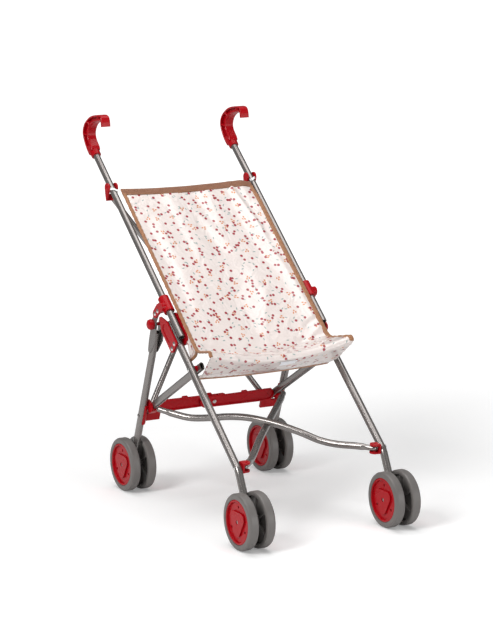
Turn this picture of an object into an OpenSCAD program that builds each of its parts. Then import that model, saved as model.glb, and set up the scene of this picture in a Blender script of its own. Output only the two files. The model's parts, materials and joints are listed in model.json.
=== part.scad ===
/* [Side frames] */
// Distance between the centre planes of the two side frames
track = 236; // [226:1:260]
// Angle of the handle tubes and the front legs above the floor
lean = 40; // [38:0.5:42]
// Outer diameter of the handle tubes
handle_d = 10; // [8:0.5:11]
// Length of the handle tubes
handle_len = 372; // [340:1:400]
// Outer diameter of the front and rear legs
leg_d = 11; // [10:0.5:12]
// Length of a front leg above its knee
leg_len = 268; // [262:1:276]
// Length of a front leg from its knee to the axle
foot_len = 71; // [64:1:78]
// Angle of the foot of a front leg above the floor
foot_lean = 64; // [60:1:68]
// Wall of every tube
wall = 1; // [0.8:0.1:1.4]
// Distance between the front and rear axles
wheelbase = 358; // [350:1:372]

/* [Wheels] */
// Diameter of a wheel
wheel_d = 80; // [74:1:84]
// Width of one wheel of a twin pair
wheel_w = 14; // [12:0.5:15]
// Distance between the two wheels of a pair
twin_gap = 12.7; // [12:0.1:15]
// Diameter of the axles
axle_d = 5; // [4:0.5:6]
// Outer diameter of a hub cap
cap_d = 63; // [56:1:66]
// Ribs inside a wheel
ribs = 6; // [4:1:8]

/* [Grips] */
// Width of a grip across the stroller
grip_w = 19; // [16:0.5:24]
// Depth of a grip along its section
grip_h = 20; // [17:0.5:22]
// Radius of the bend along the middle of a grip
grip_bend_r = 18; // [15:0.5:22]
// Length of the hooked end beyond the bend
grip_reach = 62; // [50:1:72]

/* [Folding joints] */
// Distance from the knee to the leg hinge, along the leg
hinge_at = 291; // [288:0.5:296]
// Distance from the leg's axis down to the pin of the rear leg
hinge_drop = 30; // [29:0.5:34]
// Distance from the knee to the pin of a seat rail
rail_at = 181; // [174:0.5:186]
// Distance from the knee to the pin of an elbow
elbow_at = 5; // [3:0.5:9]
// Distance from the knee to the pin of a top cap
cap_at = 521; // [505:1:535]
// Distance from the rear leg's pin down to the lock bar
bar_at = 146; // [143:1:148]
// Distance from the rear leg's pin down to the rear brace's pin
brace_at = 163; // [160:1:168]
// Clearance between parts that move against each other
play = 0.3; // [0.2:0.05:0.5]
// Clearance of a pin in its hole, on the radius
pin_play = 0.05; // [0.02:0.01:0.1]

/* [Seat rails] */
// Length of a seat rail between its two pins
rail_len = 176; // [174:1:184]
// Angle of a seat rail below the level
rail_slope = 30.3; // [28:0.5:32]
// Distance from the rear end of a seat rail forward to the pin of a lower brace
low_at = 24; // [22:1:28]
// Height of the flat oval rail
rail_h = 12; // [10:0.5:13]
// Thickness of the flat oval rail
rail_w = 7; // [5:0.5:8]

/* [Braces] */
// Outer diameter of the crossed brace tubes
brace_d = 8.5; // [7:0.5:9]
// Rise of the arched lower brace at its middle
arch = 11; // [10:0.5:16]
// Angle at which the raised middle of the lower brace leaves its straight ends
arch_turn = 12; // [9:0.5:15]
// Height of the lock bar
bar_h = 14; // [12:0.5:14.5]
// Thickness of one half of the lock bar
bar_t = 4; // [3.5:0.5:4]

/* [Seat] */
// Thickness of the sling cloth
cloth = 1.2; // [0.8:0.1:1.6]
// Sag of the sling at its middle
sag = 14; // [8:1:18]
// Half width of the sling at its top edge
sling_top = 110; // [104:1:111]
// Half width of the sling at its front lip
sling_lip = 118; // [108:1:119]
// Distance from the knee to the top edge of the sling
sling_at = 508; // [495:1:512]

/* [Hidden] */
// Side frame, measured along the front leg from its knee and across it
foot_reach = foot_len * cos(foot_lean);
knee_z = wheel_d / 2 + foot_len * sin(foot_lean);
tube_gap = 2;
tube_step = handle_d / 2 + leg_d / 2 + tube_gap;
handle_from = leg_len - 38;
handle_end = handle_from + handle_len;
function side(s, p) = [s * cos(lean) - p * sin(lean), knee_z + s * sin(lean) + p * cos(lean)];
hinge = side(hinge_at, -hinge_drop);
front_hub = [-foot_reach, wheel_d / 2];
rear_hub = [wheelbase - foot_reach, wheel_d / 2];
rear_len = norm(rear_hub - hinge);
rear_tilt = asin((rear_hub[0] - hinge[0]) / rear_len);
rail_pin = side(rail_at, 0);
rail_tip = rail_pin + rail_len * [cos(rail_slope), -sin(rail_slope)];
clamp_wall = 3;
foot_neck = 11;
lap = 0.5;          // straight parts run this far into a bend
thinner = 0.1;      // and the bend is this much thinner
plate_t = 3;
side_in = leg_d / 2 + 0.2;            // inner face of the hinge plates, from the side plane
rail_x = side_in + plate_t + play + rail_w / 2;
cheek_t = 1.4;
link_from = leg_d / 2 - 0.3 + cheek_t + play;   // inner face of the link plate
link_t = 1.6;
lobe_t = 3;
knob_face = link_from + link_t;
pin_d = 4;

// Grip: the tube's end sits in the collar, then the grip bends forward over it
grip_turn = 180 - lean + 6;
grip_from = handle_end - 30;
bend_from = handle_end + 22;
bend_at = side(bend_from, tube_step);
bend_c = bend_at + grip_bend_r * [-sin(lean), cos(lean)];
rear_reach = bend_c[0] + grip_bend_r + grip_h / 2;
front_reach = foot_reach + wheel_d / 2;
mid_y = (rear_reach - front_reach) / 2;

// Rear brace: from the cap on one side to the rear leg on the other
cap_drop = handle_d / 2 + brace_d / 2 + 12.5;
cap_turn = side(cap_at, tube_step);
cap_pin = side(cap_at, tube_step - cap_drop);
cap_x = track / 2 - 5;
brace_step = leg_d / 2 + 7;
brace_foot = hinge + brace_at * [sin(rear_tilt), -cos(rear_tilt)] + brace_step * [cos(rear_tilt), sin(rear_tilt)];
brace_foot_x = track / 2 - 21;
cross_step = brace_d / 2 + 0.8;
brace_run = brace_foot - cap_pin;
brace_tilt = atan2(brace_run[0], -brace_run[1]);
function brace_off(hd) = hd * cross_step * [cos(brace_tilt), sin(brace_tilt)];
function leg_v(p) = (p - hinge) * [cos(rear_tilt), sin(rear_tilt)];
function leg_s(p) = (p - hinge) * [-sin(rear_tilt), cos(rear_tilt)];

// Lower brace: from an elbow on one front leg to the seat rail on the other side
low_front = side(elbow_at, 0);
low_front_x = track / 2 - 13;
low_drop = rail_h / 2 + brace_d / 2 + 2 * play;
low_rear = rail_tip - low_at * [cos(rail_slope), -sin(rail_slope)] - low_drop * [sin(rail_slope), cos(rail_slope)];
low_rear_x = track / 2 - rail_x;
low_run = low_rear - low_front;
low_slope = atan2(low_run[1], low_run[0]);

// Lock bar: each half turns on a pin behind it
bar_in = 26;
bar_back = leg_d / 2 - 3.5;
post_t = 4;
function bar_from(hd) = hd < 0 ? bar_back - bar_t : bar_back - 2 * bar_t - play;

$fn = 48;

// Placing: hand is 1 on the right and -1 on the left; x then runs outward from the side plane
module hand(side_hand) {
    translate([0, -mid_y, 0])
        if (side_hand > 0) children(); else mirror([1, 0, 0]) children();
}
module at_side(side_hand, at = [0, 0], turn = 0) {
    hand(side_hand) translate([track / 2, at[0], at[1]]) rotate([turn, 0, 0]) children();
}
module lean_frame(side_hand) { at_side(side_hand, [0, knee_z], lean) children(); }
module rear_frame(side_hand) { at_side(side_hand, hinge, rear_tilt) children(); }

// Small forms
module tube(d, len) {
    difference() {
        cylinder(d = d, h = len);
        translate([0, 0, -1]) cylinder(d = d - 2 * wall, h = len + 2);
    }
}
module along_y() { rotate([-90, 0, 0]) children(); }
module side_arc(r, from, turn) {
    // a section swept round the x axis, from an angle above the rearward level
    rotate([90, 0, 90]) rotate_extrude(angle = turn, start = from) translate([r, 0]) children();
}
module pin_x(d, from, to) { translate([from, 0, 0]) rotate([0, 90, 0]) cylinder(d = d, h = to - from); }
module dome() {
    // screw head with its face at the origin
    rotate_extrude() intersection() {
        translate([0, -3.2]) circle(r = 4.6, $fn = 64);
        square([3.4, 1.6]);
    }
}
module screw_x(x, dir = 1) { translate([x, 0, 0]) rotate([0, dir * 90, 0]) dome(); }
module plate_x(x, t) { translate([x, 0, 0]) rotate([90, 0, 90]) linear_extrude(t) children(); }
module pill(len, wide) {
    hull() for (e = [-1, 1]) translate([e * (len - wide) / 2, 0]) circle(d = wide, $fn = 32);
}
module oval_2d(h, w) {
    union() {
        square([w, h - w], center = true);
        for (e = [-1, 1]) translate([0, e * (h - w) / 2]) circle(d = w);
    }
}

// Handle tube and grip
module handle_tube(hd) {
    color("silver") lean_frame(hd) translate([0, handle_from, tube_step]) difference() {
        along_y() tube(handle_d, handle_len);
        translate([0, cap_at - handle_from, 0]) pin_x(pin_d + 2 * pin_play, -handle_d, handle_d);
    }
}
module grip_section() {
    difference() {
        square([grip_w, grip_h], center = true);
        for (e = [-1, 1]) translate([e * grip_w / 2, 0]) square([grip_w * 0.42, grip_h - 7], center = true);
    }
}
module grip(hd) {
    collar_d = handle_d + 6;
    color("crimson") difference() {
        union() {
            lean_frame(hd) translate([0, 0, tube_step]) {
                translate([0, grip_from, 0]) along_y() cylinder(d = collar_d, h = 34);
                translate([0, grip_from + 26, 0]) along_y() cylinder(d = grip_w, h = bend_from - grip_from - 26 + lap);
            }
            at_side(hd, bend_c) side_arc(grip_bend_r, lean - 90, grip_turn)
                rotate(90) offset(delta = -thinner / 2) grip_section();
            at_side(hd, bend_c, grip_turn + lean - 180) translate([0, 0, grip_bend_r]) rotate([90, 0, 0])
                difference() {
                    translate([0, 0, -lap]) linear_extrude(grip_reach + lap) grip_section();
                    translate([0, -grip_h, grip_reach]) rotate([-12, 0, 0]) translate([-grip_w, -grip_h, 0])
                        cube([2 * grip_w, 4 * grip_h, 30]);
                }
        }
        lean_frame(hd) translate([0, grip_from - 1, tube_step]) along_y()
            cylinder(d = handle_d, h = handle_end - grip_from + 1);
    }
}

// Front leg: straight above the knee, a short bend, then down to the axle
module front_leg(hd) {
    bend_r = 26;
    cut = bend_r * tan((foot_lean - lean) / 2);
    color("silver") difference() {
        union() {
            lean_frame(hd) translate([0, cut - lap, 0]) along_y() cylinder(d = leg_d, h = leg_len - cut + lap);
            at_side(hd, [0, knee_z], foot_lean) rotate([90, 0, 0]) translate([0, 0, cut - lap])
                cylinder(d = leg_d, h = foot_len - cut - foot_neck + lap);
            at_side(hd, side(cut, -bend_r)) side_arc(bend_r, lean + 90, foot_lean - lean)
                circle(d = leg_d - thinner);
        }
        lean_frame(hd) translate([0, cut + elbow_at, 0]) along_y() cylinder(d = leg_d - 2 * wall, h = leg_len);
        lean_frame(hd) for (s = [elbow_at, rail_at]) translate([0, s, 0]) pin_x(pin_d, -leg_d, leg_d);
    }
}
module foot_block() {
    // barrel round the axle between the twin wheels, with a neck up to the leg; local z runs up the leg
    difference() {
        union() {
            rotate([0, 90, 0]) cylinder(d = 18, h = twin_gap - 2 * play, center = true);
            cylinder(d = leg_d, h = foot_neck);
        }
        pin_x(axle_d + 2 * pin_play, -twin_gap, twin_gap);
    }
}
module front_foot(hd) { color("dimgray") at_side(hd, front_hub, foot_lean - 90) foot_block(); }

// Side hinge. The upper clamp grips the handle tube; its lobe carries the link plate.
module upper_clamp(hd) {
    lobe_from = link_from + link_t;
    color("crimson") lean_frame(hd) translate([0, hinge_at, tube_step]) difference() {
        union() {
            translate([0, -13, 0]) along_y() cylinder(d = handle_d + 2 * clamp_wall, h = 26);
            plate_x(handle_d / 2 - 0.5, lobe_from + lobe_t - handle_d / 2 + 0.5) hull() {
                translate([-3, 0]) circle(r = 7, $fn = 32);
                translate([0, -7]) circle(r = 7, $fn = 32);
            }
            plate_x(lobe_from, lobe_t) hull() {
                translate([0, -7]) circle(r = 7, $fn = 32);
                translate([2, -21]) circle(r = 6, $fn = 32);
            }
        }
        translate([0, -14, 0]) along_y() cylinder(d = handle_d, h = 28);
        plate_x(0, lobe_from) translate([-20, -60]) square([40, 60 - tube_step - 0.5]);
        for (q = lobe_screws) translate([0, q[0], q[1]]) pin_x(screw_d, 0, 20);
    }
}
screw_d = 3;
lobe_screws = [[-1, -11], [2, -20.5]];
plate_screws = [[-24, 5.5], [-24, -5.5]];
outer_size = [61, 23];
inner_size = [55, tube_step + leg_d + 0.5];
module hinge_outer_plate(hd) {
    color("crimson") lean_frame(hd) translate([0, leg_len - 15, -5]) difference() {
        plate_x(side_in, plate_t) hull() {
            for (e = [-1, 1]) translate([12, e * 8.5]) circle(r = 3, $fn = 24);
            translate([27.5, 0]) circle(r = 3, $fn = 24);
            for (e = [-1, 1]) translate([-outer_size[0] / 2 + 6, e * 6.5]) circle(r = 5, $fn = 24);
        }
        plate_x(side_in + plate_t - 1, 2) pill(outer_size[0] - 30, outer_size[1] - 9);
        for (q = plate_screws) translate([0, q[0], q[1]]) pin_x(screw_d, 0, 20);
    }
}
module hinge_inner_plate(hd) {
    color("crimson") lean_frame(hd) translate([0, leg_len - 18, tube_step / 2])
        plate_x(-side_in - plate_t, plate_t) pill(inner_size[0], inner_size[1]);
}
module link_plate(hd) {
    color("silver") lean_frame(hd) translate([0, hinge_at, 0]) difference() {
        plate_x(link_from, link_t) hull() {
            translate([2, tube_step - 20.5]) circle(r = 5, $fn = 32);
            translate([0, -hinge_drop]) circle(r = 6, $fn = 32);
        }
        translate([0, lobe_screws[1][0], tube_step + lobe_screws[1][1]]) pin_x(screw_d, 0, 20);
        translate([0, 0, -hinge_drop]) pin_x(5, 0, 20);
    }
}
module knob(hd) {
    color("crimson") rear_frame(hd) {
        translate([knob_face, 0, 0]) rotate([0, 90, 0]) rotate_extrude() polygon([[0, 0], [7.5, 0], [8, 3],
            [7, 6.5], [4.5, 8], [0, 8.4]]);
        pin_x(5, -leg_d / 2 - cheek_t - play, knob_face);
        screw_x(-leg_d / 2 - cheek_t - play + 0.4, -1);
    }
}

// Rear leg: a tube with two flared cheeks that hang on the knob's pin, and the rivet of its bracket
module rear_leg(hd) {
    color("silver") rear_frame(hd) {
        difference() {
            union() {
                translate([0, 0, -(rear_len - foot_neck)]) cylinder(d = leg_d, h = rear_len - foot_neck - 14);
                for (x = [leg_d / 2 - 0.3, -leg_d / 2 - cheek_t + 0.3]) plate_x(x, cheek_t) hull() {
                    circle(r = 8, $fn = 32);
                    translate([-8, -22]) circle(r = 4, $fn = 32);
                    translate([3, -32]) circle(r = 3, $fn = 32);
                    translate([0, -44]) circle(r = 4, $fn = 32);
                }
            }
            pin_x(5 + 2 * pin_play, -leg_d, leg_d);
            translate([0, 0, -(rear_len - foot_neck - 6)]) cylinder(d = leg_d - 2 * wall, h = rear_len);
        }
        translate([0, 0, -bar_at - 12]) screw_x(leg_d / 2 - 0.3);
    }
}
module rear_foot(hd) { color("dimgray") at_side(hd, rear_hub, rear_tilt) foot_block(); }

// Rear bracket on the inner side of the rear leg. It holds the lock bar's pin, backs the end of the
// rear brace and carries the seat rail's end in a shelf.
module rear_bracket(hd) {
    low = -brace_at - 8;
    high = -bar_at + bar_h / 2;
    ball = brace_foot + brace_off(-hd);
    lug = leg_v(ball) - brace_d / 2 - play;
    face = bar_from(hd) + bar_t + play;
    post_in = bar_in - bar_h / 2 - 0.8;
    post_out = bar_in + 7;
    shelf = rail_h / 2 + play;
    color("crimson") difference() {
        union() {
            rear_frame(hd) {
                translate([0, 0, low]) intersection() {
                    cylinder(d = leg_d + 4, h = high - low);
                    translate([-20, -20, 0]) cube([20, 40, high - low]);
                }
                translate([-post_out, face, low]) cube([post_out, post_t, 12]);
                translate([-post_out, face, low]) cube([post_out - post_in, post_t, high - low]);
                translate([-track / 2 + brace_foot_x - 5, face, low]) cube([10, lug - face, leg_s(ball) + 5 - low]);
            }
            at_side(hd, rail_tip, -rail_slope) {
                translate([-rail_x - rail_w / 2 - 0.4, -13, -shelf - 3]) cube([rail_w + 3, 12, 3]);
                translate([-rail_x + rail_w / 2 + play, -13, -shelf - 3]) cube([2.6, 12, 12]);
            }
            rear_frame(hd) translate([0, 0, leg_s(rail_tip) + 2]) plate_x(-side_in - 2.8, 2.8) polygon([[0, -3],
                [0, 12], [-12, 10], [-17, 5], [-17, 1]]);
        }
        rear_frame(hd) translate([0, 0, low - 1]) cylinder(d = leg_d, h = high - low + 2);
        rear_frame(hd) translate([-bar_in, 0, -bar_at]) along_y()
            cylinder(d = pin_d + 2 * pin_play, h = 60, center = true);
    }
}

// Lock bar: the left half lies behind, the right half in front
module lock_bar(hd) {
    half = track / 2 - bar_in + 15;
    back = bar_t + play + post_t;
    color("crimson") rear_frame(hd) translate([-bar_in, bar_from(hd), -bar_at]) difference() {
        union() {
            along_y() linear_extrude(bar_t) {
                hull() {
                    circle(d = bar_h, $fn = 32);
                    translate([15 - half, 0]) circle(d = bar_h - 1, $fn = 32);
                }
                translate([-half * 0.55, -bar_h / 2]) square([9, 7], center = true);
            }
            along_y() cylinder(d = pin_d, h = back + play);
            translate([0, back + play, 0]) along_y() dome();
        }
        translate([-half * 0.5, -1, 0]) along_y() linear_extrude(2.2) pill(half - 34, bar_h - 7);
    }
}

// Top cap: two cheeks on a pin through the handle tube, joined under it by the block of the rear brace
module top_cap(hd) {
    cheek = handle_d / 2 + play;
    back = -2 * cross_step;
    block_x = cap_x - track / 2;
    face = hd > 0 ? 0 : back;      // the block's face towards the brace
    color("crimson") union() {
        at_side(hd, cap_turn) {
            for (x = [cheek, -cheek - 2.6]) plate_x(x, 2.6) hull() {
                circle(r = 7, $fn = 32);
                for (z = [-5, 2]) translate(cap_pin - cap_turn + (back - 1.5) * [cos(brace_tilt), sin(brace_tilt)]
                    + z * [-sin(brace_tilt), cos(brace_tilt)]) circle(r = 1.5, $fn = 24);
            }
            pin_x(pin_d, -cheek - 1, cheek + 1);
            screw_x(cheek + 2.4);
        }
        at_side(hd, cap_pin, brace_tilt) {
            translate([block_x - 6, back - 3, -6.5]) cube([cheek + 2.3 - block_x + 6, face - back + 3, 10]);
            translate([block_x, face - 1, 0]) along_y() cylinder(d = pin_d, h = 2 * cross_step + 1);
            translate([block_x, face + 2 * cross_step, 0]) along_y() dome();
        }
    }
}

// Crossed braces. Each tube is named for the side of its upper or front end.
module rear_brace(hd) {
    top = cap_pin + brace_off(hd);
    side_way = cap_x + brace_foot_x;
    len = norm([side_way, norm(brace_run)]);
    color("silver") at_side(hd, top, brace_tilt) translate([cap_x - track / 2, 0, 0])
        rotate([0, atan2(side_way, norm(brace_run)), 0]) difference() {
            union() {
                sphere(d = brace_d);
                translate([0, 0, -len]) cylinder(d = brace_d, h = len);
                translate([0, 0, -len]) sphere(d = brace_d);
            }
            translate([0, 0, -len + 6]) cylinder(d = brace_d - 2 * wall, h = len - 12);
            along_y() cylinder(d = pin_d + 2 * pin_play, h = 2 * brace_d, center = true);
        }
}
module lower_brace(hd) {
    side_way = low_front_x + low_rear_x;
    len = norm([side_way, norm(low_run)]);
    rise = hd > 0 ? arch : 0;
    r = rise / 2 / (1 - cos(arch_turn));
    flat = len / 2 - 2 * r * sin(arch_turn);
    color("silver") at_side(hd, low_front, low_slope) translate([low_front_x - track / 2, 0, 0])
        rotate([0, 0, atan2(side_way, norm(low_run))]) difference() {
            union() {
                sphere(d = brace_d);
                translate([0, len, 0]) sphere(d = brace_d);
                if (rise > 0) {
                    translate([0, len / 2, rise - r]) side_arc(r, 89.9 - arch_turn, 2 * arch_turn + 0.2)
                        circle(d = brace_d);
                    translate([0, flat, r]) side_arc(r, -90, arch_turn) circle(d = brace_d - thinner);
                    translate([0, len - flat, r]) side_arc(r, -90 - arch_turn, arch_turn)
                        circle(d = brace_d - thinner);
                    for (y = [0, len - flat - lap]) translate([0, y, 0]) along_y() cylinder(d = brace_d, h = flat + lap);
                } else along_y() cylinder(d = brace_d, h = len);
            }
            if (rise == 0) translate([0, 6, 0]) along_y() cylinder(d = brace_d - 2 * wall, h = len - 12);
            cylinder(d = pin_d + 2 * pin_play, h = 3 * brace_d, center = true);
        }
}
module elbow(hd) {
    // two cheeks over and under the round end of a lower brace, joined by a web beside the leg
    pin_in = low_front_x - track / 2;
    cheek = brace_d / 2 + play;
    cheek_h = 2.4;
    web_from = pin_in + cheek + 0.1;
    color("crimson") at_side(hd, low_front, low_slope) difference() {
        union() {
            for (z = [cheek, -cheek - cheek_h]) translate([0, 0, z]) linear_extrude(cheek_h) hull() {
                translate([pin_in, 0]) circle(r = 6.5, $fn = 32);
                translate([-side_in - 0.5, -7]) square([0.5, 13]);
            }
            translate([web_from, -7, -cheek - cheek_h]) cube([-side_in - web_from, 13, 2 * (cheek + cheek_h)]);
            translate([pin_in, 0, -cheek - 1]) cylinder(d = pin_d, h = 2 * cheek + 2);
            translate([pin_in, 0, cheek + cheek_h - 0.3]) dome();
        }
        pin_x(pin_d + 2 * pin_play, web_from - 0.05, 0);
    }
}

// Seat rail on its pin and bush
module seat_rail(hd) {
    color("silver") at_side(hd, rail_pin, -rail_slope) translate([-rail_x, -10, 0]) difference() {
        along_y() linear_extrude(rail_len + 22) oval_2d(rail_h, rail_w);
        along_y() translate([0, 0, -1]) linear_extrude(rail_len + 24)
            oval_2d(rail_h - 2 * wall, rail_w - 2 * wall);
        translate([0, 10, 0]) pin_x(pin_d + 2 * pin_play, -rail_w, rail_w);
    }
}
module rail_bush(hd) {
    color("crimson") at_side(hd, rail_pin) difference() {
        pin_x(9, -rail_x + rail_w / 2 + play, -leg_d / 2 + 0.35);
        pin_x(pin_d, -rail_x, 0);
        rotate([lean, 0, 0]) translate([0, -20, 0]) along_y() cylinder(d = leg_d, h = 40);
    }
}

// Screws and rivets of one side frame
module frame_screws(hd) {
    inner_end = -rail_x - rail_w / 2 - play;
    color("gainsboro") {
        lean_frame(hd) {
            for (q = lobe_screws) translate([0, hinge_at + q[0], tube_step + q[1]]) {
                screw_x(link_from + link_t + lobe_t);
                pin_x(screw_d, link_from, link_from + link_t + lobe_t);
            }
            for (q = plate_screws) translate([0, leg_len - 15 + q[0], -5 + q[1]]) {
                screw_x(side_in + plate_t);
                pin_x(screw_d, side_in, side_in + plate_t);
            }
        }
        at_side(hd, rail_pin) {
            screw_x(leg_d / 2);
            pin_x(pin_d, inner_end, leg_d / 2);
            screw_x(inner_end, -1);
        }
        at_side(hd, low_front) {
            screw_x(leg_d / 2);
            pin_x(pin_d, -side_in - 2.2, leg_d / 2);
        }
    }
}

// Strap loop round the handle tube, sewn to the top corner of the sling
module strap_loop(hd) {
    loop_at = sling_at - 12;
    loop_w = 10;
    color("white") lean_frame(hd) translate([0, loop_at, tube_step]) difference() {
        union() {
            along_y() cylinder(r = handle_d / 2 + 1.3, h = loop_w);
            translate([-handle_d / 2 - 4, 0, handle_d / 2 - 1.2]) cube([handle_d / 2 + 4, loop_w, 1.2]);
        }
        translate([0, -1, 0]) along_y() cylinder(r = handle_d / 2 + 0.1, h = loop_w + 2);
    }
}

// Seat sling: one sheet from the top edge down the back, over the seat, round the lip and back below.
// Each corner holds its place in the side plane, its radius, its half width and its share of the sag.
crease = side(sling_at - 312, tube_step + 8) + [0, -1];
sling_corners = [
    [side(sling_at, tube_step + 9), 0, sling_top, 0.25],
    [crease, 20, 111.5, 0.75],
    [crease + [-68, 15], 6, sling_lip, 1.25],
    [crease + [-20, -28], 30, 111, 0.35],
    [crease + [9, -41], 0, 110, 0.2]];
across = 12;
steps = [14, 4, 6, 3];
function unit(v) = v / norm(v);
function bend(a, c, b, r, n) = let (u = unit(a - c), w = unit(b - c), half = acos(u * w) / 2,
    far = r / sin(half), mid = c + unit(u + w) * far, m0 = -u + 0 * w, turn = 180 - 2 * half,
    sgn = (u[0] * w[1] - u[1] * w[0]) > 0 ? 1 : -1, p0 = c + u * r / tan(half))
    [for (i = [0:n]) let (t = sgn * -turn * i / n, v = p0 - mid)
        mid + [v[0] * cos(t) - v[1] * sin(t), v[0] * sin(t) + v[1] * cos(t)]];
function corner(i) = sling_corners[i][0];
function rounded(i) = bend(corner(i - 1), corner(i), corner(i + 1), sling_corners[i][1], 6);
function straight(a, b, n) = [for (i = [0:n - 1]) a + (b - a) * i / n];
b1 = rounded(1);
b2 = rounded(2);
b3 = rounded(3);
path = concat(straight(corner(0), b1[0], steps[0]), b1, [for (p = straight(b1[6], b2[0], steps[1])) if (p != b1[6]) p],
    b2, [for (p = straight(b2[6], b3[0], steps[2])) if (p != b2[6]) p], b3,
    [for (p = straight(b3[6], corner(4), steps[3])) if (p != b3[6]) p], [corner(4)]);
count = len(path);
function run_to(i) = i == 0 ? 0 : run_to(i - 1) + norm(path[i] - path[i - 1]);
function nearest(c) = [for (i = [0:count - 1]) norm(path[i] - c)];
marks = [for (k = [0:4]) let (d = nearest(corner(k)), low = min(d)) [for (i = [0:count - 1]) if (d[i] == low) i][0]];
function between(i, k, m) = i <= marks[k + 1] || k == 3
    ? let (t = (i - marks[k]) / (marks[k + 1] - marks[k])) sling_corners[k][m] * (1 - t) + sling_corners[k + 1][m] * t
    : between(i, k + 1, m);
function normal(i) = let (a = path[max(i - 1, 0)], b = path[min(i + 1, count - 1)], t = unit(b - a)) [-t[1], t[0]];
function sheet_point(i, j, deep) = let (u = 2 * j / across - 1, w = between(i, 0, 2),
    fall = sag * between(i, 0, 3) * (1 - u * u), q = path[i] + deep * normal(i))
    [u * w, q[0], q[1] - fall];
module seat_sling() {
    row = across + 1;
    all = count * row;
    pts = [for (deep = [0, cloth]) for (i = [0:count - 1]) for (j = [0:across]) sheet_point(i, j, deep)];
    function at(i, j, k) = k * all + i * row + j;
    faces = concat(
        [for (i = [0:count - 2]) for (j = [0:across - 1]) for (f = [0, 1]) f == 0
            ? [at(i, j, 0), at(i + 1, j, 0), at(i + 1, j + 1, 0)] : [at(i, j, 0), at(i + 1, j + 1, 0), at(i, j + 1, 0)]],
        [for (i = [0:count - 2]) for (j = [0:across - 1]) for (f = [0, 1]) f == 0
            ? [at(i, j, 1), at(i + 1, j + 1, 1), at(i + 1, j, 1)] : [at(i, j, 1), at(i, j + 1, 1), at(i + 1, j + 1, 1)]],
        [for (i = [0:count - 2]) for (f = [0, 1]) f == 0
            ? [at(i, 0, 0), at(i, 0, 1), at(i + 1, 0, 1)] : [at(i, 0, 0), at(i + 1, 0, 1), at(i + 1, 0, 0)]],
        [for (i = [0:count - 2]) for (f = [0, 1]) f == 0
            ? [at(i, across, 0), at(i + 1, across, 1), at(i, across, 1)]
            : [at(i, across, 0), at(i + 1, across, 0), at(i + 1, across, 1)]],
        [for (j = [0:across - 1]) for (f = [0, 1]) f == 0
            ? [at(0, j, 0), at(0, j + 1, 1), at(0, j, 1)] : [at(0, j, 0), at(0, j + 1, 0), at(0, j + 1, 1)]],
        [for (j = [0:across - 1]) for (f = [0, 1]) let (e = count - 1) f == 0
            ? [at(e, j, 0), at(e, j, 1), at(e, j + 1, 1)] : [at(e, j, 0), at(e, j + 1, 1), at(e, j + 1, 0)]]);
    color("mistyrose") hand(1) polyhedron(points = pts, faces = faces);
}

// Wheels
module wheel() {
    // x runs out from the leg; the web and ribs face the leg
    rib_r = wheel_d / 2 - 6;
    rotate([0, 90, 0]) {
        rotate_extrude($fn = 96) {
            polygon([[rib_r, 0.6], [rib_r + 0.6, 0], [wheel_d / 2 - 2.5, 0], [wheel_d / 2 - 0.7, 0.8],
                [wheel_d / 2, 2.6], [wheel_d / 2, wheel_w - 3], [wheel_d / 2 - 0.9, wheel_w - 1],
                [wheel_d / 2 - 3, wheel_w], [cap_d / 2 + 0.4, wheel_w], [cap_d / 2 + 0.4, wheel_w - 5],
                [axle_d / 2, wheel_w - 5], [axle_d / 2, 0.3], [axle_d / 2 + 3.5, 0.3], [axle_d / 2 + 4, 0.8],
                [axle_d / 2 + 4.5, wheel_w - 7.5], [rib_r - 1, wheel_w - 7.5]]);
        }
        for (i = [0:ribs - 1]) rotate([0, 0, i * 360 / ribs]) translate([axle_d / 2 + 3.5, -1, 2.5])
            cube([rib_r - axle_d / 2 - 2.5, 2, wheel_w - 9]);
    }
}
module hub_cap() {
    // red cap in the outer face of a wheel, with a three-lobed boss
    rotate([0, 90, 0]) difference() {
        union() {
            rotate_extrude($fn = 96) polygon([[axle_d / 2 + 0.5, 0], [cap_d / 2, 0], [cap_d / 2, 4.4],
                [cap_d / 2 - 1, 5], [cap_d / 2 - 2.6, 5], [cap_d / 2 - 3.4, 2], [axle_d / 2 + 0.5, 2]]);
            linear_extrude(4.6) difference() {
                hull() for (i = [0:2]) rotate(i * 120) translate([cap_d * 0.2, 0]) circle(r = cap_d * 0.13, $fn = 32);
                circle(d = axle_d + 1);
            }
        }
        for (i = [0:2]) rotate(i * 120 + 60) translate([cap_d * 0.34, 0, -1]) cylinder(d = 4, h = 8);
    }
}
hub_face = twin_gap / 2;
module wheel_at(hd, at, out) {
    color("darkgray") at_side(hd, at) if (out > 0) translate([hub_face, 0, 0]) wheel();
        else mirror([1, 0, 0]) translate([hub_face, 0, 0]) wheel();
}
module caps_at(hd, at) {
    color("crimson") at_side(hd, at) for (m = [0, 1]) mirror([m, 0, 0])
        translate([hub_face + wheel_w - 5, 0, 0]) hub_cap();
}
module axle_at(hd, at) {
    color("gray") at_side(hd, at) pin_x(axle_d, -hub_face - wheel_w + 1.5, hub_face + wheel_w - 1.5);
}

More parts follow.
